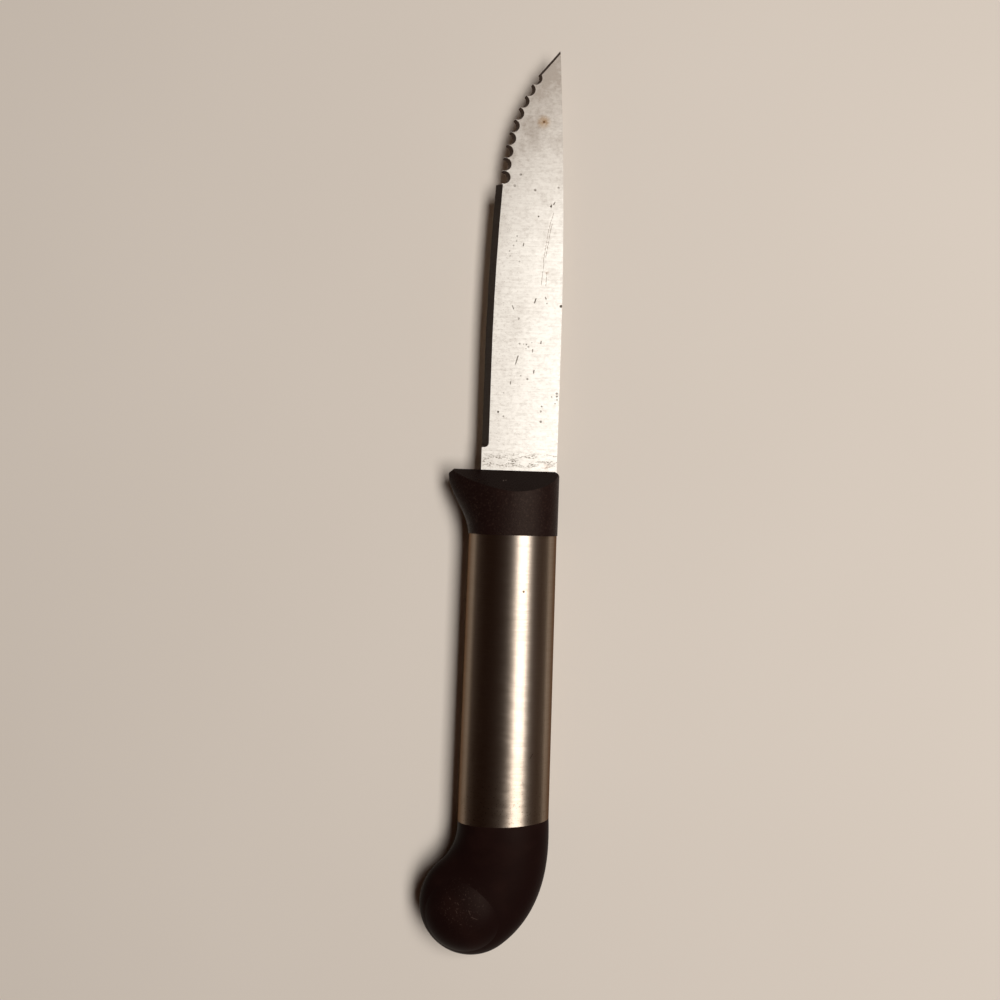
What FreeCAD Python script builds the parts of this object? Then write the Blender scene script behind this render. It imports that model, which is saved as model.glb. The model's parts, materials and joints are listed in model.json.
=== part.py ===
import FreeCAD, Part
import math
import os

# A serrated utility knife lying on its side, in millimetres.
# X runs across the handle towards the spine, Y runs along the handle towards the tip, and Z is up.
# The pieces are drawn about the handle's axis, with Y zero at the front end of the steel sleeve
# and Z zero on the plane through the middle of the blade. The last step moves the whole knife so
# that the origin is under the middle of its outline, on the surface that it lies on.

# Steel sleeve: an oval tube that widens a little towards the back
sleeve_length = 74.7
sleeve_front_half_width = 11.55
sleeve_back_half_width = 11.95
sleeve_half_height = 7.7
sleeve_wall = 0.8
sleeve_back_slant = 3.4

# Front collar and the core that is moulded with it
collar_length = 16.75
collar_half_width = 11.75
collar_half_height = 7.8
guard_reach = 5.6
guard_rise_length = 15.5
guard_corner = 1.4
guard_thinning = 0.6
collar_corner_radius = 2.2
collar_corner_depth = 2.05
front_land = 1.5
front_slope_length = 5.5
collar_section_count = 8
collar_section_points = 32
core_clearance = 0.15
end_gap = 0.3
peg_radius = 3.0
peg_length = 7.0
peg_clearance = 0.1

# Blade, with its tang
blade_thickness = 1.3
stock_thickness = 1.4
blade_length = 110.9
blade_seat_depth = 1.5
spine_offset = 10.95
spine_straight_length = 33.0
spine_drop = 2.75
edge_offset = 8.9
edge_straight_length = 28.0
edge_rise = 1.4
toothed_length = 35.9
bevel_width = 1.8
bevel_start = 5.9
bevel_runout_radius = 1.2
edge_land = 0.15
tooth_line_offset = 6.3
tooth_line_radius = 52.1
tooth_line_sweep = 34.3
tooth_bevel_width = 0.3
gullet_count = 9
gullet_radius = 1.7
gullet_heel_depth = 2.5
gullet_tip_depth = 1.8
gullet_facet_width = 0.9
gullet_first_angle = 1.85
gullet_pitch_angle = 3.83
gullet_lean_angle = 0.2
tip_bevel_width = 0.85
tang_length = 58.0
tang_width = 12.0
tang_hole_radius = 2.5
tang_hole_spacing = 22.0

# Rear cap: the oval section bends around a pivot beside the handle and ends in a knob
pivot_offset = 25.6
cap_sweep = 52.8
cap_growth_share = 0.92
cap_end_radius = 13.5
cap_end_centre_distance = 27.4
cap_end_half_height = 6.65
cap_section_count = 6
knob_half_height = 7.9
knob_radius = 12.0
knob_shift_x = 0.8
knob_shift_y = 0.7
spigot_length = 10.0
spigot_overlap = 1.5
socket_extra_depth = 0.5

# Worked out from the sizes above
tip_y = collar_length + blade_length
serration_y = tip_y - toothed_length
tooth_centre = FreeCAD.Vector(tooth_line_radius - tooth_line_offset, serration_y, 0)
core_length = sleeve_length - spigot_length - end_gap
bore_half_width = sleeve_front_half_width - sleeve_wall
bore_half_height = sleeve_half_height - sleeve_wall
core_half_width = bore_half_width - core_clearance
core_half_height = bore_half_height - core_clearance
slant_angle = math.radians(sleeve_back_slant)
pivot = FreeCAD.Vector(-pivot_offset, -sleeve_length - pivot_offset * math.tan(slant_angle), 0)

UP = FreeCAD.Vector(0, 0, 1)
FORWARD = FreeCAD.Vector(0, 1, 0)


def point(x, y, z=0):
    return FreeCAD.Vector(x, y, z)


def line(start, end):
    return Part.LineSegment(start, end).toShape()


def arc(start, middle, end):
    return Part.Arc(start, middle, end).toShape()


def oval(centre, across, half_width, half_height):
    """A closed oval around a centre: half_width along the direction across, half_height up."""
    side = centre + across * half_width
    top = centre + UP * half_height
    return Part.Wire(Part.Ellipse(side, top, centre).toShape())


def prism(outline, bottom, top):
    """The solid above a closed plan outline, from the height bottom to the height top."""
    face = Part.Face(Part.Wire(outline))
    face.translate(UP * bottom)
    return face.extrude(UP * (top - bottom))


def polygon(corners):
    return Part.makePolygon(corners + corners[:1]).Edges


def tooth_line_point(angle, inset=0.0):
    """A point of the arc on which the teeth stand, or on the arc that lies inset from it."""
    turn = math.radians(angle)
    reach = tooth_line_radius - inset
    return tooth_centre + point(-reach * math.cos(turn), reach * math.sin(turn))


def eased(progress):
    """Rises from 0 to 1 with a soft start and end, and stays at 1 beyond."""
    progress = min(progress, 1)
    return progress * progress * (3 - 2 * progress)


def bowed(start_x, end_x, start_y, end_y):
    """The arc that leaves start along Y and drifts sideways to end, as a plan edge."""
    middle_y = (start_y + end_y) / 2
    middle_x = start_x + (end_x - start_x) / 4
    return arc(point(start_x, start_y), point(middle_x, middle_y), point(end_x, end_y))


def blade_outline():
    """The plan outline of blade and tang, from the tang's end around by the cutting edge."""
    shoulder_y = collar_length - blade_seat_depth
    half_tang = tang_width / 2
    tang_end = shoulder_y - tang_length
    tang_side_end = tang_end + half_tang
    edge_bend_y = collar_length + edge_straight_length
    spine_bend_y = collar_length + spine_straight_length
    edge_end = point(edge_rise - edge_offset, serration_y)
    first_tooth = tooth_line_point(0)
    last_tooth = tooth_line_point(tooth_line_sweep)
    tip = point(spine_offset - spine_drop, tip_y)
    return [
        arc(point(half_tang, tang_side_end), point(0, tang_end), point(-half_tang, tang_side_end)),
        line(point(-half_tang, tang_side_end), point(-half_tang, shoulder_y)),
        line(point(-half_tang, shoulder_y), point(-edge_offset, shoulder_y)),
        line(point(-edge_offset, shoulder_y), point(-edge_offset, edge_bend_y)),
        bowed(-edge_offset, edge_end.x, edge_bend_y, serration_y),
        line(edge_end, first_tooth),
        arc(first_tooth, tooth_line_point(tooth_line_sweep / 2), last_tooth),
        line(last_tooth, tip),
        bowed(spine_offset, tip.x, spine_bend_y, tip_y),
        line(point(spine_offset, spine_bend_y), point(spine_offset, shoulder_y)),
        line(point(spine_offset, shoulder_y), point(half_tang, shoulder_y)),
        line(point(half_tang, shoulder_y), point(half_tang, tang_side_end)),
    ]


def bevel_wheel(low_edges, high_edges):
    """The ground-away wedge between an outline at the edge's land and one above the blade's face."""
    low = Part.Wire(low_edges)
    low.translate(UP * (edge_land - blade_thickness / 2))
    high = Part.Wire(high_edges)
    high.translate(UP * blade_thickness)
    return Part.makeLoft([low, high], True, True)


def bevel_inset(width):
    """How far inside the edge line the wedge stands at the height of its upper outline."""
    land_z = edge_land - blade_thickness / 2
    slope = width / (blade_thickness / 2 - land_z)
    return slope * (blade_thickness - land_z)


def edge_wheel_outline(inset):
    """Around the straight and bowed stretch of the cutting edge, moved inwards by inset."""
    far_x = -2 * edge_offset
    start_y = collar_length + bevel_start
    bend_y = collar_length + edge_straight_length
    start_x = inset - edge_offset
    end_x = start_x + edge_rise
    radius = bevel_runout_radius
    round_centre = point(start_x - radius, start_y + radius)
    round_start = round_centre - point(0, radius)
    round_middle = round_centre + point(radius, -radius) * math.sqrt(0.5)
    round_end = round_centre + point(radius, 0)
    return [
        arc(round_start, round_middle, round_end),
        line(round_end, point(start_x, bend_y)),
        bowed(start_x, end_x, bend_y, serration_y),
        line(point(end_x, serration_y), point(far_x, serration_y)),
        line(point(far_x, serration_y), point(far_x, start_y)),
        line(point(far_x, start_y), round_start),
    ]


def tooth_wheel_outline(inset):
    """Around the arc of the teeth, moved inwards by inset."""
    clear = -3 * gullet_radius
    start = tooth_line_point(0, inset)
    middle = tooth_line_point(tooth_line_sweep / 2, inset)
    end = tooth_line_point(tooth_line_sweep, inset)
    far_start = tooth_line_point(0, clear)
    far_end = tooth_line_point(tooth_line_sweep, clear)
    return [arc(start, middle, end), line(end, far_end), line(far_end, far_start), line(far_start, start)]


def tip_wheel_outline(inset):
    """Around the straight edge at the tip, moved inwards by inset."""
    last_tooth = tooth_line_point(tooth_line_sweep)
    tip = point(spine_offset - spine_drop, tip_y)
    along = (tip - last_tooth).normalize()
    outward = point(-along.y, along.x)
    start = last_tooth - along * bevel_width - outward * inset
    end = tip + along * bevel_width - outward * inset
    reach = outward * (2 * bevel_width + inset)
    return polygon([start, end, end + reach, start + reach])


def gullet(index):
    """The slanting groove that grinds one scallop, deeper on the upper face than on the lower."""
    angle = gullet_first_angle + index * gullet_pitch_angle
    depth = gullet_heel_depth + (gullet_tip_depth - gullet_heel_depth) * index / (gullet_count - 1)
    inset = depth - gullet_radius
    upper = tooth_line_point(angle + gullet_lean_angle, inset) + UP * blade_thickness / 2
    lower = tooth_line_point(angle, inset - gullet_facet_width) - UP * blade_thickness / 2
    through = upper - lower
    rings = [Part.Wire(Part.makeCircle(gullet_radius, end)) for end in (lower - through, upper + through)]
    return Part.makeLoft(rings, True, True)


def make_blade():
    half = stock_thickness / 2
    blade = prism(blade_outline(), -half, half)
    face_depth = (stock_thickness - blade_thickness) / 2
    for bottom in (-half - face_depth, half - face_depth):
        corner = point(-2 * edge_offset, collar_length, bottom)
        blade = blade.cut(Part.makeBox(4 * edge_offset, blade_length + 1, 2 * face_depth, corner))
    edge_inset = bevel_inset(bevel_width)
    tooth_inset = bevel_inset(tooth_bevel_width)
    tip_inset = bevel_inset(tip_bevel_width)
    blade = blade.cut(bevel_wheel(edge_wheel_outline(0), edge_wheel_outline(edge_inset)))
    blade = blade.cut(bevel_wheel(tooth_wheel_outline(0), tooth_wheel_outline(tooth_inset)))
    blade = blade.cut(bevel_wheel(tip_wheel_outline(0), tip_wheel_outline(tip_inset)))
    blade = blade.cut([gullet(index) for index in range(gullet_count)])
    hole_y = collar_length - blade_seat_depth - tang_length / 2
    for step in (-0.5, 0.5):
        base = point(0, hole_y + step * tang_hole_spacing, -stock_thickness)
        blade = blade.cut(Part.makeCylinder(tang_hole_radius, 2 * stock_thickness, base))
    return blade


def collar_section(y):
    """The collar's closed section at y: an oval, drawn out on the edge side into the finger guard."""
    growth = eased(y / guard_rise_length)
    reach = collar_half_width + guard_reach * growth
    power = 2 - guard_thinning * growth
    points = []
    for step in range(collar_section_points):
        turn = math.radians(step * 360 / collar_section_points - 90)
        across = math.cos(turn)
        up = math.sin(turn)
        if across >= 0:
            points.append(point(collar_half_width * across, y, collar_half_height * up))
        else:
            x = -reach * abs(across) ** (2 / power)
            z = math.copysign(collar_half_height * abs(up) ** (2 / power), up)
            points.append(point(x, y, z))
    curve = Part.BSplineCurve()
    curve.interpolate(Points=points, PeriodicFlag=True)
    return Part.Wire(curve.toShape())


def front_slope(side):
    """What is pared off the collar's front, above the blade for side 1 and below it for side -1."""
    land = front_land / 2
    rise = collar_half_height - land
    run = front_slope_length / rise
    low_z = -side * land
    high_z = side * (land + 2 * rise)
    far_x = -2 * collar_half_width
    far_y = 2 * collar_length
    corners = [
        point(far_x, collar_length + 2 * run * land, low_z),
        point(far_x, collar_length - 2 * run * rise, high_z),
        point(far_x, far_y, high_z),
        point(far_x, far_y, low_z),
    ]
    return Part.Face(Part.makePolygon(corners + corners[:1])).extrude(point(-2 * far_x, 0, 0))


def collar_corners():
    """What is taken off the collar's front corners: a chamfer on the guard, a round at the spine."""
    height = 2 * collar_half_height
    front = collar_length
    guard_x = -collar_half_width - guard_reach
    chamfer = [
        point(guard_x + guard_corner, front),
        point(guard_x + guard_corner, 2 * front),
        point(2 * guard_x, 2 * front),
        point(2 * guard_x, front + guard_x + guard_corner),
    ]
    radius = collar_corner_radius
    centre = point(collar_half_width - collar_corner_depth, front - collar_corner_depth)
    diagonal = radius * math.sqrt(0.5)
    side = centre + point(radius, 0)
    end = centre + point(0, radius)
    outside = side + point(radius, 2 * radius)
    rounding = [
        arc(side, centre + point(diagonal, diagonal), end),
        line(end, point(end.x, outside.y)),
        line(point(end.x, outside.y), outside),
        line(outside, point(outside.x, side.y)),
        line(point(outside.x, side.y), side),
    ]
    return [prism(polygon(chamfer), -height, height), prism(rounding, -height, height)]


def make_front_collar(blade):
    """The collar with its guard and core, moulded around the blade's root and tang."""
    steps = collar_section_count - 1
    stations = [collar_length * step / steps for step in range(collar_section_count)]
    collar = Part.makeLoft([collar_section(y) for y in stations], True, False)
    collar = collar.cut([front_slope(1), front_slope(-1)])
    collar = collar.cut(collar_corners())
    core_wire = oval(point(0, -core_length), point(1, 0), core_half_width, core_half_height)
    core = Part.Face(core_wire).extrude(FORWARD * (core_length + collar_length / 4))
    peg_base = point(0, -core_length - peg_length)
    peg = Part.makeCylinder(peg_radius, peg_length + 1, peg_base, FORWARD)
    return collar.fuse([core, peg]).cut(blade).removeSplitter()


def joint_oval(inset):
    """The sleeve's slanted back end, or a line of it that lies inset from its outer edge."""
    across = point(math.cos(slant_angle), math.sin(slant_angle))
    half_width = (sleeve_back_half_width - inset) / math.cos(slant_angle)
    return oval(point(0, -sleeve_length), across, half_width, sleeve_half_height - inset)


def sleeve_skin(inset):
    """The solid inside the sleeve's outer surface, or inside a surface inset from it."""
    half_width = sleeve_front_half_width - inset
    front = oval(point(0, 0), point(1, 0), half_width, sleeve_half_height - inset)
    return Part.makeLoft([front, joint_oval(inset)], True, True)


def make_steel_sleeve():
    """The oval tube, square at the front and cut on a slant at the back."""
    return sleeve_skin(0).cut(sleeve_skin(sleeve_wall))


def cap_oval(progress):
    """The bent cap's section, from 0 at the sleeve to 1 at the end, in a plane through the pivot."""
    growth = eased(progress / cap_growth_share)
    start_distance = pivot_offset / math.cos(slant_angle)
    start_half_width = sleeve_back_half_width / math.cos(slant_angle)
    turn = math.radians(sleeve_back_slant - cap_sweep * progress)
    outward = point(math.cos(turn), math.sin(turn))
    distance = start_distance + (cap_end_centre_distance - start_distance) * growth
    half_width = start_half_width + (cap_end_radius - start_half_width) * growth
    half_height = sleeve_half_height + (cap_end_half_height - sleeve_half_height) * growth
    return oval(pivot + outward * distance, outward, half_width, half_height)


def ellipsoid(centre, radius, half_height, sphere):
    """A sphere of radius 1 about the origin, or a part of it, stretched and moved to centre."""
    stretch = FreeCAD.Matrix()
    stretch.scale(radius, radius, half_height)
    solid = sphere.transformGeometry(stretch)
    solid.translate(centre)
    return solid


def make_rear_cap():
    """The bent cap with its rounded end and knob, and the spigot that plugs into the sleeve."""
    steps = cap_section_count - 1
    bend = Part.makeLoft([cap_oval(step / steps) for step in range(cap_section_count)], True, False)
    end_turn = sleeve_back_slant - cap_sweep
    end_angle = math.radians(end_turn)
    end_centre = pivot + point(math.cos(end_angle), math.sin(end_angle)) * cap_end_centre_distance
    half_sphere = Part.makeSphere(1, point(0, 0), UP, -90, 90, 180)
    half_sphere.rotate(point(0, 0), UP, end_turn + 180)
    end = ellipsoid(end_centre, cap_end_radius, cap_end_half_height, half_sphere)
    knob_centre = end_centre - point(knob_shift_x, knob_shift_y)
    knob = ellipsoid(knob_centre, knob_radius, knob_half_height, Part.makeSphere(1))
    front_y = spigot_length - sleeve_length
    depth = spigot_length + spigot_overlap
    spigot_wire = oval(point(0, front_y), point(1, 0), core_half_width, core_half_height)
    spigot = Part.Face(spigot_wire).extrude(FORWARD * -depth)
    socket_depth = peg_length + socket_extra_depth
    socket_base = point(0, front_y - socket_depth)
    socket = Part.makeCylinder(peg_radius + peg_clearance, socket_depth + 1, socket_base, FORWARD)
    return bend.fuse([end, knob, spigot]).cut(socket).removeSplitter()


def main():
    blade = make_blade()
    pieces = {
        "blade": blade,
        "front_collar": make_front_collar(blade),
        "steel_sleeve": make_steel_sleeve(),
        "rear_cap": make_rear_cap(),
    }
    box = Part.makeCompound(list(pieces.values())).optimalBoundingBox(False)
    shift = point(-box.Center.x, -box.Center.y, -box.ZMin)
    os.makedirs("parts", exist_ok=True)
    for name, piece in pieces.items():
        piece.translate(shift)
        piece.exportStep("parts/" + name + ".step")
        print(name, "valid", piece.isValid(), "solids", len(piece.Solids), "mm3", round(piece.Volume, 1))
    print("knife", round(box.XLength, 2), round(box.YLength, 2), round(box.ZLength, 2))
    print("handle axis and sleeve front at", [round(value, 3) for value in shift])


main()
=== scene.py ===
import json
import math

import bpy
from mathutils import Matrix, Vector

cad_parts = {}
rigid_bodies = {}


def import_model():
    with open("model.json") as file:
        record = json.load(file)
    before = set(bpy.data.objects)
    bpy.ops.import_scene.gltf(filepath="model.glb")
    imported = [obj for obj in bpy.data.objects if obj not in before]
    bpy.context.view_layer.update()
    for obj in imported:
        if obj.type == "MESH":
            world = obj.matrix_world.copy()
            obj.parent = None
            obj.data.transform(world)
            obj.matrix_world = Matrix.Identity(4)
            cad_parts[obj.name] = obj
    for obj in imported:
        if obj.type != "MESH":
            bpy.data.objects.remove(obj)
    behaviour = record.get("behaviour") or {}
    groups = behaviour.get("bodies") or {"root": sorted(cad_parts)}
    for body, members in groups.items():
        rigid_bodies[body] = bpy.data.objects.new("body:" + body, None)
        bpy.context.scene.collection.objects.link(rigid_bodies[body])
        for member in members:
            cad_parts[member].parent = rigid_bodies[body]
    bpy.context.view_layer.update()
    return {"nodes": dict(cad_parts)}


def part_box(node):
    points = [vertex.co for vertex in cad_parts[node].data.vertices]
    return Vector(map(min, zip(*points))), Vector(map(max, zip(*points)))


for leftover in list(bpy.data.objects):
    bpy.data.objects.remove(leftover)

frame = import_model()

# Places are in metres in the knife's own frame: X towards the spine, Y towards the tip, Z up.
# The handle's axis is the line X = AXIS_X at the height MID_Z. The blade's edge is EDGE_OFFSET from it.
MM = 0.001
EDGE_OFFSET = 8.9 * MM
COLLAR_LENGTH = 16.75 * MM
sleeve_low, sleeve_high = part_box("steel_sleeve")
blade_low, blade_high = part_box("blade")
MID_Z = (blade_low.z + blade_high.z) / 2
AXIS_X = blade_low.x + EDGE_OFFSET
SLEEVE_FRONT = sleeve_high.y
SLEEVE_BACK = sleeve_low.y
TIP_Y = blade_high.y
HEEL_Y = SLEEVE_FRONT + COLLAR_LENGTH

# The photograph: its scale at the handle's mid-plane, the knife's slant in it, the pixel that shows the
# sleeve's front on the handle's axis, and the camera's height above the mid-plane
PIXEL = 0.263 * MM
PHOTO_SIZE = 1000
PHOTO_CENTRE = PHOTO_SIZE / 2
CAMERA_HEIGHT = PHOTO_SIZE * PIXEL
SENSOR_WIDTH = 36
SLANT = math.radians(1.95)
AXIS_PIXEL = (512.75, 534.4)

# How far each marked face lies above the mid-plane, and the height over which marks on it fade in
BLADE_LIFT = 0.65 * MM
COLLAR_LIFT = 3.5 * MM
HANDLE_LIFT = 7.5 * MM
UPPER_FADE = 0.2 * MM

# Marks of use, as the photograph's pixels: dots are (x, y, radius in mm), lines are runs of points
DARK_DOTS = [(551, 206.3, 0.36), (561, 306.3, 0.5), (498, 411.8, 0.36), (538.5, 216.5, 0.26)]
FAINT_DOTS = [
    (517, 236, 0.3), (516.5, 241, 0.25), (513.5, 245.5, 0.28), (509.5, 251, 0.26), (510, 256, 0.24),
    (519.5, 261.5, 0.28), (558.5, 188, 0.4), (535, 190, 0.45), (514.5, 185.5, 0.5), (520.6, 174.5, 0.42),
    (518.5, 318.5, 0.38), (546.8, 303.4, 0.26), (519.5, 343.7, 0.34), (523.5, 344.3, 0.26),
    (526.3, 344.5, 0.26), (528.4, 347, 0.36), (526, 348.6, 0.22), (520.6, 375.6, 0.26), (527.3, 379, 0.36),
    (503.5, 392.8, 0.24), (531.7, 342.6, 0.24), (551.4, 397, 0.28), (541.6, 406.5, 0.28),
    (503.3, 416.3, 0.3), (540.6, 421.8, 0.4), (556.6, 393.5, 0.4), (556.9, 396.6, 0.36),
    (556.9, 399.8, 0.3), (554.8, 403.6, 0.3), (540.6, 411.5, 0.36),
]
BLADE_TICKS = [
    [(551.6, 204.5), (550.9, 208)], [(555.2, 201.8), (553.4, 204.8)], [(523.8, 243), (523.2, 246.2)],
    [(536, 298.4), (534.2, 303.6)], [(512.2, 305.2), (513.6, 309)], [(545, 296.8), (546.2, 299.4)],
    [(541.2, 341), (540.6, 344)], [(532.6, 349), (532.2, 352.6)], [(510.7, 381), (510.2, 384.6)],
    [(518.2, 355.4), (515.2, 364.6)], [(534, 370), (533.4, 373.4)],
]
BLADE_TICK_WIDTH = 0.34 * MM
BLADE_SCRATCHES = [
    [(553.6, 213), (550.5, 222), (548.4, 231), (546.6, 241), (544.6, 252), (543, 263)],
    [(552.6, 222), (550.2, 231), (548.4, 241), (546.8, 250), (545.4, 258)],
    [(546.5, 272), (546.2, 279), (545.6, 286)],
    [(543.8, 263), (542.4, 274), (541, 285)],
]
BLADE_SCRATCH_WIDTH = 0.2 * MM
RUST_PIXEL = (544, 122)
RUST_HALO_RADIUS = 2.3 * MM
RUST_CORE_RADIUS = 0.5 * MM
BROWN_STAINS = [(547, 272, 1.0, 0.45), (547, 467, 1.7, 0.5)]  # x, y, radius in mm, strength
SLEEVE_PIT = (523.6, 591.8, 0.42)
SLEEVE_SCRATCH = [(533, 755), (530, 760)]
SLEEVE_SCRATCH_WIDTH = 0.25 * MM
COLLAR_DUST = [(503.5, 480.6, 0.22), (506, 480.4, 0.18)]
KNOB_PIXEL = (461, 907)
KNOB_WEAR_RADIUS = 8.5 * MM
KNOB_TICKS = [
    [(468.5, 910), (470.5, 914.5)], [(471, 916.5), (477.5, 919.5)], [(457, 903), (458.8, 905)],
    [(456, 910.5), (457.2, 913.5)], [(449, 899), (450.5, 900.5)],
]
KNOB_TICK_WIDTH = 0.2 * MM

# Lengths along the knife over which its surface changes
TIP_SHADE_SPAN = (50 * MM, 8 * MM)  # painted shade darkens the blade between these distances from its tip
EDGE_BLEND = 5 * MM
GRIME_IN = (0.5 * MM, 1.4 * MM)  # grime begins and ends between these distances from the collar
GRIME_OUT = (3.2 * MM, 5.6 * MM)
DARKER_BACK_LENGTH = 35 * MM

# Colours
BRIGHT_STEEL = (0.82, 0.785, 0.725, 1)
# Worn steel, also used as the painted shade at the blade's tip
WORN_AND_SHADED_STEEL = (0.40, 0.348, 0.30, 1)
# Painted shade for the blade's ground facets, standing in for the dark room that they reflect
FACET_SHADE = (0.050, 0.027, 0.017, 1)
BLADE_DUST = (0.30, 0.24, 0.19, 1)
BLADE_MARK = (0.13, 0.10, 0.07, 1)
BLADE_SCRATCH = (0.34, 0.27, 0.21, 1)
RUST_HALO = (0.50, 0.28, 0.09, 1)
RUST_CORE = (0.15, 0.065, 0.02, 1)
BROWN_STAIN = (0.34, 0.18, 0.09, 1)
GRIME = (0.20, 0.15, 0.10, 1)
SLEEVE_STEEL = (0.46, 0.385, 0.315, 1)
SLEEVE_LINE = (0.35, 0.285, 0.225, 1)
SLEEVE_BACK_TONE = (0.34, 0.27, 0.205, 1)
SLEEVE_CLOUD = (0.31, 0.24, 0.185, 1)
# Painted shade for the sleeve's sides
SLEEVE_SIDE_SHADE = (0.13, 0.085, 0.06, 1)
SLEEVE_SPECKLE = (0.10, 0.075, 0.055, 1)
SLEEVE_MARK = (0.07, 0.05, 0.035, 1)
SLEEVE_GRAZING_TINT = (0.46, 0.35, 0.29, 1)
BLACK_PLASTIC = (0.0095, 0.0036, 0.003, 1)
FADED_PLASTIC = (0.017, 0.0065, 0.005, 1)
PLASTIC_TINT = (1.0, 0.78, 0.64, 1)
COLLAR_FLECK = (0.045, 0.026, 0.019, 1)
# Painted shade for the collar's sloped front faces
COLLAR_SLOPE_SHADE = (0.005, 0.0015, 0.0013, 1)
COLLAR_DUST_COLOUR = (0.3, 0.24, 0.2, 1)
KNOB_SCUFF = (0.10, 0.065, 0.05, 1)
SHEET = (0.69, 0.62, 0.545, 1)
SHEET_CLOUD = (0.73, 0.66, 0.585, 1)
ROOM_EDGE_SIDE = (0.022, 0.010, 0.006, 1)
ROOM_SPINE_SIDE = (0.066, 0.038, 0.025, 1)

# The floor, and the one lamp, which is long along the knife and stands on the spine side
FLOOR_HALF_SIZE = 1.5
KEY_PLACE = (0.39, 0.04, 1.0)
KEY_SIZE = (0.385, 0.95)
KEY_POWER = 11.8
KEY_COLOUR = (1.0, 0.985, 0.965)


def photo_place(px, py, lift=0.0):
    """The place in the knife's frame, lifted from the mid-plane, that a pixel of the photograph shows."""
    reach = 1 - lift / CAMERA_HEIGHT
    across = PHOTO_CENTRE + (px - PHOTO_CENTRE) * reach - AXIS_PIXEL[0]
    down = PHOTO_CENTRE + (py - PHOTO_CENTRE) * reach - AXIS_PIXEL[1]
    x = across * math.cos(SLANT) + down * math.sin(SLANT)
    y = across * math.sin(SLANT) - down * math.cos(SLANT)
    return Vector((AXIS_X + x * PIXEL, SLEEVE_FRONT + y * PIXEL, MID_Z + lift))


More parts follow.
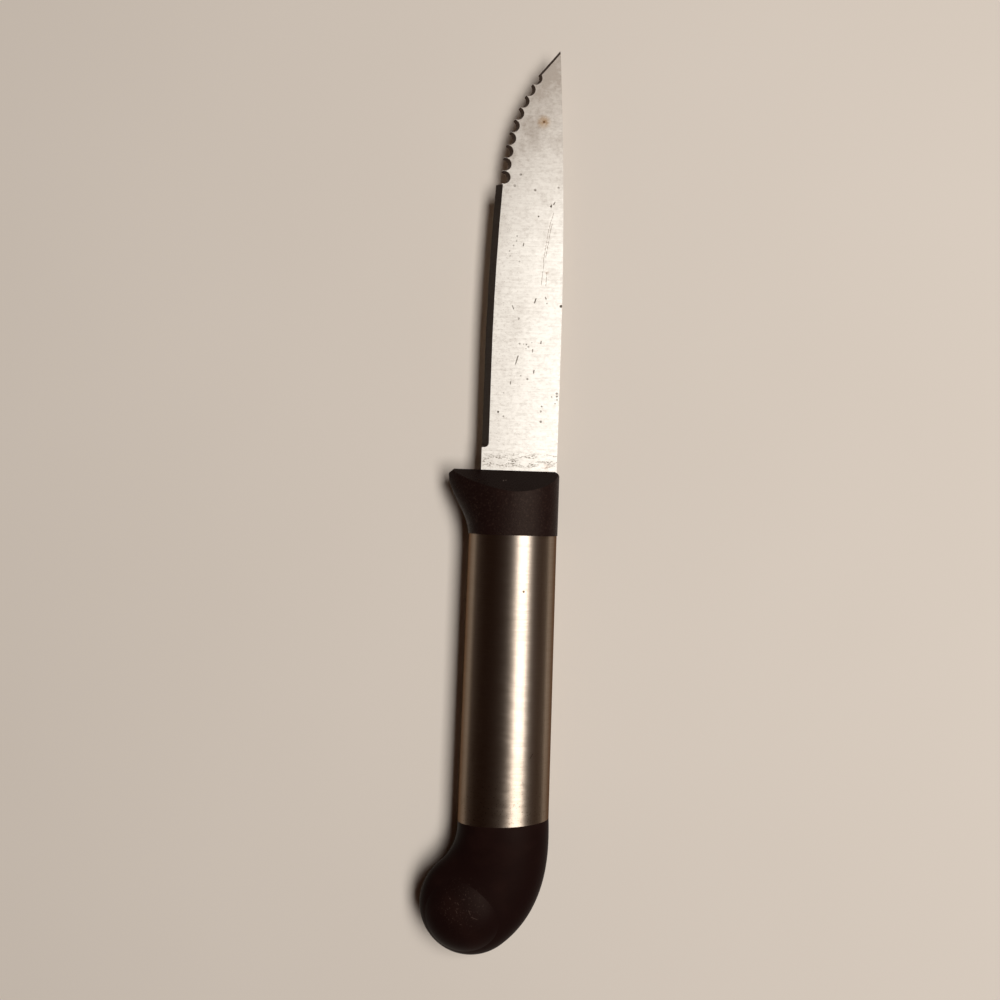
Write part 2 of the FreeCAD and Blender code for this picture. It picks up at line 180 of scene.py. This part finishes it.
class Nodes:
    """A short way to write a material's node tree."""

    def __init__(self, name):
        self.material = bpy.data.materials.new(name)
        self.material.use_nodes = True
        self.tree = self.material.node_tree
        self.shader = self.tree.nodes["Principled BSDF"]
        self.place = self.add("ShaderNodeTexCoord").outputs["Object"]
        self.plan = self.vector("MULTIPLY", self.place, (1, 1, 0))
        self.upper = self.ramp(self.coordinate("Z"), MID_Z, MID_Z + UPPER_FADE)

    def add(self, kind, **settings):
        node = self.tree.nodes.new(kind)
        for key, value in settings.items():
            setattr(node, key, value)
        return node

    def link(self, source, target):
        self.tree.links.new(source, target)

    def put(self, socket, value):
        """Links a socket's value, or sets a constant one."""
        if isinstance(value, bpy.types.NodeSocket):
            self.link(value, socket)
        else:
            socket.default_value = value

    def vector(self, operation, first, second, output=0):
        """Vector arithmetic on a linked vector and a constant one."""
        node = self.add("ShaderNodeVectorMath", operation=operation)
        self.link(first, node.inputs[0])
        node.inputs[1].default_value = second
        return node.outputs[output]

    def math(self, operation, first, second=0.0, clamp=False):
        node = self.add("ShaderNodeMath", operation=operation, use_clamp=clamp)
        self.put(node.inputs[0], first)
        self.put(node.inputs[1], second)
        return node.outputs[0]

    def times(self, *factors):
        """The product of several values."""
        result = factors[0]
        for factor in factors[1:]:
            result = self.math("MULTIPLY", result, factor)
        return result

    def total(self, *parts):
        """The sum of several values, at most 1."""
        result = parts[0]
        for part in parts[1:]:
            result = self.math("ADD", result, part, clamp=True)
        return result

    def most(self, *masks):
        """The largest of several masks."""
        result = masks[0]
        for mask in masks[1:]:
            result = self.math("MAXIMUM", result, mask)
        return result

    def noise(self, scale, detail=2.0, roughness=0.5, offset=(0, 0, 0)):
        """Noise from 0 to 1, moved by offset, with scale as cells a metre on each axis."""
        node = self.add("ShaderNodeTexNoise")
        moved = self.vector("SUBTRACT", self.place, offset)
        self.link(self.vector("MULTIPLY", moved, scale), node.inputs["Vector"])
        node.inputs["Scale"].default_value = 1.0
        node.inputs["Detail"].default_value = detail
        node.inputs["Roughness"].default_value = roughness
        return node.outputs["Fac"]

    def ramp(self, value, low, high, start=0.0, end=1.0, smooth=True):
        """Start below low, end above high, and a ramp between them."""
        node = self.add("ShaderNodeMapRange")
        node.interpolation_type = "SMOOTHSTEP" if smooth else "LINEAR"
        self.put(node.inputs["Value"], value)
        node.inputs["From Min"].default_value = low
        node.inputs["From Max"].default_value = high
        node.inputs["To Min"].default_value = start
        node.inputs["To Max"].default_value = end
        return node.outputs["Result"]

    def mix(self, amount, first, second):
        """The colour first where amount is 0, and second where it is 1."""
        node = self.add("ShaderNodeMix", data_type="RGBA")
        self.put(node.inputs[0], amount)
        self.put(node.inputs[6], first)
        self.put(node.inputs[7], second)
        return node.outputs[2]

    def coordinate(self, axis):
        """The surface's place along an axis."""
        node = self.add("ShaderNodeSeparateXYZ")
        self.link(self.place, node.inputs[0])
        return node.outputs[axis]

    def facing(self, axis):
        """How far the surface faces along an axis, from -1 to 1."""
        node = self.add("ShaderNodeSeparateXYZ")
        self.link(self.add("ShaderNodeNewGeometry").outputs["True Normal"], node.inputs[0])
        return node.outputs[axis]

    def spot(self, centre, radius, softness=0.5):
        """1 in a round spot about a place in plan, and 0 outside it."""
        distance = self.vector("DISTANCE", self.plan, (centre.x, centre.y, 0), "Value")
        return self.ramp(distance, radius * (1 - softness), radius, 1.0, 0.0)

    def streak(self, start, end, width):
        """1 along a straight scratch between two places in plan, and 0 away from it."""
        middle = (start + end) / 2
        along = Vector((end.x - start.x, end.y - start.y, 0))
        length = along.length
        along = along.normalized()
        across = Vector((-along.y, along.x, 0))
        shifted = self.vector("SUBTRACT", self.plan, (middle.x, middle.y, 0))
        run = self.math("ABSOLUTE", self.vector("DOT_PRODUCT", shifted, along, "Value"))
        side = self.math("ABSOLUTE", self.vector("DOT_PRODUCT", shifted, across, "Value"))
        within = self.ramp(run, length * 0.4, length * 0.6, 1, 0)
        near = self.ramp(side, width * 0.25, width * 0.6, 1, 0)
        return self.times(within, near)

    def patch(self, pixel, lift, radius, softness):
        """A round spot on the upper side, about a pixel of the photograph."""
        return self.times(self.spot(photo_place(*pixel, lift), radius, softness), self.upper)

    def dots(self, pixels, lift):
        """Round spots on the upper side, about pixels of the photograph, each with its radius in mm."""
        spots = [self.spot(photo_place(x, y, lift), radius * MM) for x, y, radius in pixels]
        return self.times(self.most(*spots), self.upper)

    def lines(self, runs, lift, width):
        """Scratches on the upper side, along runs of pixels of the photograph."""
        streaks = []
        for run in runs:
            for start, end in zip(run, run[1:]):
                streaks.append(self.streak(photo_place(*start, lift), photo_place(*end, lift), width))
        return self.times(self.most(*streaks), self.upper)

    def bump(self, height, depth):
        node = self.add("ShaderNodeBump")
        self.link(height, node.inputs["Height"])
        node.inputs["Distance"].default_value = depth
        self.link(node.outputs["Normal"], self.shader.inputs["Normal"])

    def combed(self, amount):
        """Stretches highlights along Y, across grain lines that run along X and waver a little."""
        waver = self.noise((300, 900, 300), detail=1, offset=(0.6, 0.6, 0))
        tangent = self.add("ShaderNodeCombineXYZ")
        self.link(self.ramp(waver, 0.2, 0.8, -0.06, 0.06), tangent.inputs[0])
        tangent.inputs[1].default_value = 1.0
        self.shader.inputs["Anisotropic"].default_value = amount
        self.link(tangent.outputs[0], self.shader.inputs["Tangent"])

    def complete(self, colour, roughness):
        """Links the colour and the roughness, and gives the material."""
        self.link(colour, self.shader.inputs["Base Color"])
        self.link(roughness, self.shader.inputs["Roughness"])
        return self.material


def blade_wear_and_tip_shade(n, haze, dust):
    """Ground steel with painted shade that darkens it towards the tip, a little darker towards the edge,
    with clouds, streaks and fine dust.
    """
    along = n.coordinate("Y")
    to_edge = n.ramp(n.coordinate("X"), AXIS_X - EDGE_BLEND, AXIS_X + EDGE_BLEND, 1, 0)
    # Painted shade: the blade's colour darkens towards its tip, standing in for the lamp's reflection
    # falling off there.
    tip_shade = n.ramp(along, TIP_Y - TIP_SHADE_SPAN[0], TIP_Y - TIP_SHADE_SPAN[1], 0, 0.8, smooth=False)
    streaks = n.noise((140, 2600, 140), detail=3, roughness=0.6, offset=(0.3, 0.1, 0))
    cloud = n.noise((150, 90, 90), detail=5, roughness=0.62, offset=(0.7, 0.2, 0))
    clouding = n.times(n.ramp(cloud, 0.45, 0.72), n.ramp(along, HEEL_Y, TIP_Y, 0.06, 0.36))
    wear_and_tip_shade = n.total(tip_shade, clouding, n.ramp(haze, 0.42, 0.72, 0.0, 0.2), n.times(to_edge, 0.1))
    colour = n.mix(wear_and_tip_shade, BRIGHT_STEEL, WORN_AND_SHADED_STEEL)
    colour = n.mix(n.ramp(streaks, 0.4, 0.72, 0.0, 0.16), colour, WORN_AND_SHADED_STEEL)
    stipple = n.times(n.ramp(dust, 0.54, 0.70), n.ramp(haze, 0.42, 0.6, 0.2, 1.0))
    stipple = n.times(stipple, n.total(0.2, n.times(to_edge, 0.4)))
    return n.mix(stipple, colour, BLADE_DUST)


def blade_marks(n, haze, colour):
    """Specks, short ticks and long scratches where the photograph shows them."""
    faint = n.times(n.dots(FAINT_DOTS, BLADE_LIFT), n.ramp(haze, 0.35, 0.6, 0.25, 0.7))
    ticks = n.times(n.lines(BLADE_TICKS, BLADE_LIFT, BLADE_TICK_WIDTH), n.ramp(haze, 0.35, 0.6, 0.45, 0.9))
    dark = n.most(faint, ticks, n.dots(DARK_DOTS, BLADE_LIFT))
    colour = n.mix(n.times(dark, 0.85), colour, BLADE_MARK)
    scratches = n.lines(BLADE_SCRATCHES, BLADE_LIFT, BLADE_SCRATCH_WIDTH)
    scratches = n.times(scratches, n.ramp(haze, 0.3, 0.55))
    colour = n.mix(n.times(scratches, 0.6), colour, BLADE_SCRATCH)
    return colour, dark, scratches


def blade_rust(n, haze, colour):
    """A rust spot with a dark core and a ragged halo, and two brown stains."""
    halo = n.patch(RUST_PIXEL, BLADE_LIFT, RUST_HALO_RADIUS, 1.0)
    halo = n.times(halo, n.ramp(haze, 0.3, 0.6, 0.45, 1.0))
    colour = n.mix(n.times(halo, 0.65), colour, RUST_HALO)
    core = n.patch(RUST_PIXEL, BLADE_LIFT, RUST_CORE_RADIUS, 0.8)
    colour = n.mix(n.times(core, 0.8), colour, RUST_CORE)
    for x, y, radius, strength in BROWN_STAINS:
        stain = n.patch((x, y), BLADE_LIFT, radius * MM, 1.0)
        stain = n.times(stain, n.ramp(haze, 0.35, 0.6, 0.0, strength))
        colour = n.mix(stain, colour, BROWN_STAIN)
    return colour, halo


def blade_facets(n, colour):
    """Paints shade on the ground facets, which slope away from the blade's face, in place of the dark room
    that they reflect.
    """
    ground = n.ramp(n.math("ABSOLUTE", n.facing("Z")), 0.80, 0.97, 1, 0)
    return n.mix(n.times(ground, 0.93), colour, FACET_SHADE)


def blade_grime(n, dust, colour):
    """Tide marks of grime just ahead of the collar."""
    along = n.coordinate("Y")
    tide = n.noise((160, 520, 160), detail=4, roughness=0.7, offset=(0.2, 0.05, 0))
    contour = n.ramp(n.math("ABSOLUTE", n.math("SUBTRACT", tide, 0.5)), 0.0, 0.035, 1, 0)
    begin = n.ramp(along, HEEL_Y + GRIME_IN[0], HEEL_Y + GRIME_IN[1])
    end = n.ramp(along, HEEL_Y + GRIME_OUT[0], HEEL_Y + GRIME_OUT[1], 1, 0)
    grime = n.times(begin, end, contour, n.ramp(dust, 0.40, 0.56))
    return n.mix(n.times(grime, 0.85), colour, GRIME), grime


def blade_material():
    """Worn stainless steel, ground across the blade, with rust, specks, scratches and grime."""
    n = Nodes("worn_blade_steel")
    grain = n.noise((900, 7000, 900), detail=5, roughness=0.75)
    haze = n.noise((900, 1500, 900), detail=6, roughness=0.75, offset=(0.1, 0.9, 0))
    dust = n.noise((3200, 4200, 3200), detail=3, roughness=0.7, offset=(0.4, 0.4, 0))
    colour = blade_wear_and_tip_shade(n, haze, dust)
    colour, dark, scratches = blade_marks(n, haze, colour)
    colour, halo = blade_rust(n, haze, colour)
    colour = blade_facets(n, colour)
    colour, grime = blade_grime(n, dust, colour)
    n.shader.inputs["Metallic"].default_value = 1.0
    n.combed(0.35)
    n.bump(n.math("ADD", n.times(grain, 0.8), n.times(n.most(dark, scratches), -1.5)), 0.012 * MM)
    marks = n.most(dark, grime)
    rough = n.total(n.ramp(haze, 0.3, 0.7, 0.52, 0.60), n.times(marks, 0.25), n.times(halo, 0.2))
    return n.complete(colour, rough)


def sleeve_material():
    """Satin stainless steel, brushed around the handle, darker towards the back, with painted shade on the
    sides.
    """
    n = Nodes("brushed_sleeve_steel")
    lines = n.noise((160, 5200, 160), detail=4, roughness=0.7)
    cloud = n.noise((55, 70, 55), detail=3, roughness=0.6, offset=(0.4, 0, 0))
    fine = n.noise((2500, 2500, 2500), detail=2, offset=(0.2, 0, 0))
    toward_back = n.ramp(n.coordinate("Y"), SLEEVE_BACK, SLEEVE_BACK + DARKER_BACK_LENGTH, 1, 0)
    sides = n.ramp(n.math("ABSOLUTE", n.facing("Z")), 0.45, 0.88, 1, 0)
    colour = n.mix(n.ramp(lines, 0.3, 0.75, 0.0, 0.5), SLEEVE_STEEL, SLEEVE_LINE)
    colour = n.mix(n.times(toward_back, 0.35), colour, SLEEVE_BACK_TONE)
    colour = n.mix(n.ramp(cloud, 0.5, 0.8, 0.0, 0.2), colour, SLEEVE_CLOUD)
    # Painted shade darkens the sleeve where it faces sideways.
    colour = n.mix(n.times(sides, 0.62), colour, SLEEVE_SIDE_SHADE)
    speckle = n.times(n.ramp(fine, 0.62, 0.68), toward_back, toward_back)
    colour = n.mix(n.times(speckle, 0.7), colour, SLEEVE_SPECKLE)
    pit = n.dots([SLEEVE_PIT], HANDLE_LIFT)
    scratch = n.lines([SLEEVE_SCRATCH], HANDLE_LIFT, SLEEVE_SCRATCH_WIDTH)
    marks = n.most(pit, n.times(scratch, 0.6))
    colour = n.mix(marks, colour, SLEEVE_MARK)
    n.shader.inputs["Metallic"].default_value = 1.0
    n.shader.inputs["Specular Tint"].default_value = SLEEVE_GRAZING_TINT
    n.combed(0.92)
    n.bump(n.math("ADD", lines, n.times(marks, -2.0)), 0.004 * MM)
    return n.complete(colour, n.ramp(lines, 0.3, 0.7, 0.39, 0.47))


def plastic_cloud(n):
    """Soft patches, a centimetre wide, in which the plastics have faded a little."""
    return n.noise((120, 120, 120), detail=4, offset=(0.5, 0.5, 0))


def plastic(name, specular):
    """Starts a black moulded plastic, whose highlights are as warm as its colour."""
    n = Nodes(name)
    n.shader.inputs["Specular IOR Level"].default_value = specular
    n.shader.inputs["Specular Tint"].default_value = PLASTIC_TINT
    faded = n.ramp(plastic_cloud(n), 0.45, 0.75, 0.0, 0.5)
    return n, n.mix(faded, BLACK_PLASTIC, FADED_PLASTIC)


def collar_material():
    """Black plastic, grained on the body, smooth on the sloped front faces and with painted shade on them.
    """
    n, colour = plastic("grained_collar_plastic", 0.12)
    slope = n.ramp(n.facing("Y"), 0.25, 0.4)
    body = n.math("SUBTRACT", 1.0, slope)
    grain = n.noise((3000, 3000, 3000), detail=3, roughness=0.65)
    fleck = n.noise((1900, 1900, 1900), detail=3, roughness=0.7, offset=(0.3, 0.2, 0))
    flecks = n.times(n.ramp(fleck, 0.52, 0.7), body)
    colour = n.mix(n.times(flecks, 0.5), colour, COLLAR_FLECK)
    # Painted shade darkens the sloped front faces.
    colour = n.mix(n.times(slope, 0.8), colour, COLLAR_SLOPE_SHADE)
    colour = n.mix(n.times(n.dots(COLLAR_DUST, COLLAR_LIFT), 0.3), colour, COLLAR_DUST_COLOUR)
    n.bump(n.times(grain, body), 0.11 * MM)
    rough = n.math("SUBTRACT", n.ramp(grain, 0.3, 0.7, 0.34, 0.48), n.times(slope, 0.12))
    return n.complete(colour, rough)


def cap_material():
    """Smooth satin black plastic, scuffed on top of the knob."""
    n, colour = plastic("satin_cap_plastic", 0.045)
    worn = n.patch(KNOB_PIXEL, HANDLE_LIFT, KNOB_WEAR_RADIUS, 0.7)
    grain = n.noise((1800, 1800, 1800), detail=3, roughness=0.6)
    fleck = n.noise((2600, 2600, 2600), detail=2, offset=(0.3, 0.6, 0))
    flecks = n.times(n.ramp(fleck, 0.63, 0.70), worn)
    ticks = n.lines(KNOB_TICKS, HANDLE_LIFT, KNOB_TICK_WIDTH)
    scuffs = n.most(flecks, n.times(ticks, 0.8))
    colour = n.mix(n.times(scuffs, 0.4), colour, KNOB_SCUFF)
    n.bump(n.math("ADD", grain, n.times(scuffs, -1.5)), 0.003 * MM)
    rough = n.total(n.ramp(plastic_cloud(n), 0.3, 0.7, 0.42, 0.50), n.times(worn, 0.06))
    return n.complete(colour, rough)


def sheet_material():
    """A plain pale sheet, a little uneven in tone."""
    n = Nodes("pale_sheet")
    n.link(n.mix(n.noise((9, 9, 9)), SHEET, SHEET_CLOUD), n.shader.inputs["Base Color"])
    n.shader.inputs["Roughness"].default_value = 0.75
    n.shader.inputs["Specular IOR Level"].default_value = 0.15
    return n.material


def dress(node, material):
    """Gives a CAD node a material in place of its plain one."""
    for slot in frame["nodes"][node].material_slots:
        slot.material = material


def make_floor():
    """The flat sheet that the knife lies on."""
    mesh = bpy.data.meshes.new("floor")
    ends = [(-1, -1), (1, -1), (1, 1), (-1, 1)]
    corners = [(x * FLOOR_HALF_SIZE, y * FLOOR_HALF_SIZE, 0) for x, y in ends]
    mesh.from_pydata(corners, [], [(0, 1, 2, 3)])
    mesh.materials.append(sheet_material())
    floor = bpy.data.objects.new("floor", mesh)
    bpy.context.scene.collection.objects.link(floor)


def make_camera():
    """Straight above, as far away as makes the photograph's scale on the handle's mid-plane."""
    data = bpy.data.cameras.new("camera")
    data.sensor_width = SENSOR_WIDTH
    data.lens = SENSOR_WIDTH * CAMERA_HEIGHT / (PHOTO_SIZE * PIXEL)
    data.clip_start = 0.01
    camera = bpy.data.objects.new("camera", data)
    bpy.context.scene.collection.objects.link(camera)
    camera.location = photo_place(PHOTO_CENTRE, PHOTO_CENTRE) + Vector((0, 0, CAMERA_HEIGHT))
    camera.rotation_euler = (0, 0, SLANT)
    bpy.context.scene.camera = camera


def make_world():
    """A dim room, lighter on the spine side."""
    world = bpy.data.worlds.new("room")
    world.use_nodes = True
    bpy.context.scene.world = world
    tree = world.node_tree
    tree.nodes.clear()
    place = tree.nodes.new("ShaderNodeTexCoord")
    parts = tree.nodes.new("ShaderNodeSeparateXYZ")
    tree.links.new(place.outputs["Generated"], parts.inputs[0])
    side = tree.nodes.new("ShaderNodeMapRange")
    side.inputs["From Min"].default_value = -0.5
    side.inputs["From Max"].default_value = 0.7
    tree.links.new(parts.outputs["X"], side.inputs["Value"])
    shade = tree.nodes.new("ShaderNodeMix")
    shade.data_type = "RGBA"
    shade.inputs[6].default_value = ROOM_EDGE_SIDE
    shade.inputs[7].default_value = ROOM_SPINE_SIDE
    tree.links.new(side.outputs["Result"], shade.inputs[0])
    background = tree.nodes.new("ShaderNodeBackground")
    tree.links.new(shade.outputs[2], background.inputs["Color"])
    output = tree.nodes.new("ShaderNodeOutputWorld")
    tree.links.new(background.outputs[0], output.inputs["Surface"])


def make_lamp():
    """One soft rectangular lamp that faces the knife."""
    data = bpy.data.lights.new("key", "AREA")
    data.shape = "RECTANGLE"
    data.size, data.size_y = KEY_SIZE
    data.energy = KEY_POWER
    data.color = KEY_COLOUR
    lamp = bpy.data.objects.new("key", data)
    bpy.context.scene.collection.objects.link(lamp)
    lamp.location = KEY_PLACE
    lamp.rotation_euler = (0, math.atan2(KEY_PLACE[0], KEY_PLACE[2]), SLANT)


dress("blade", blade_material())
dress("front_collar", collar_material())
dress("steel_sleeve", sleeve_material())
dress("rear_cap", cap_material())
make_floor()
make_camera()
make_world()
make_lamp()
bpy.context.scene.view_settings.view_transform = "Standard"
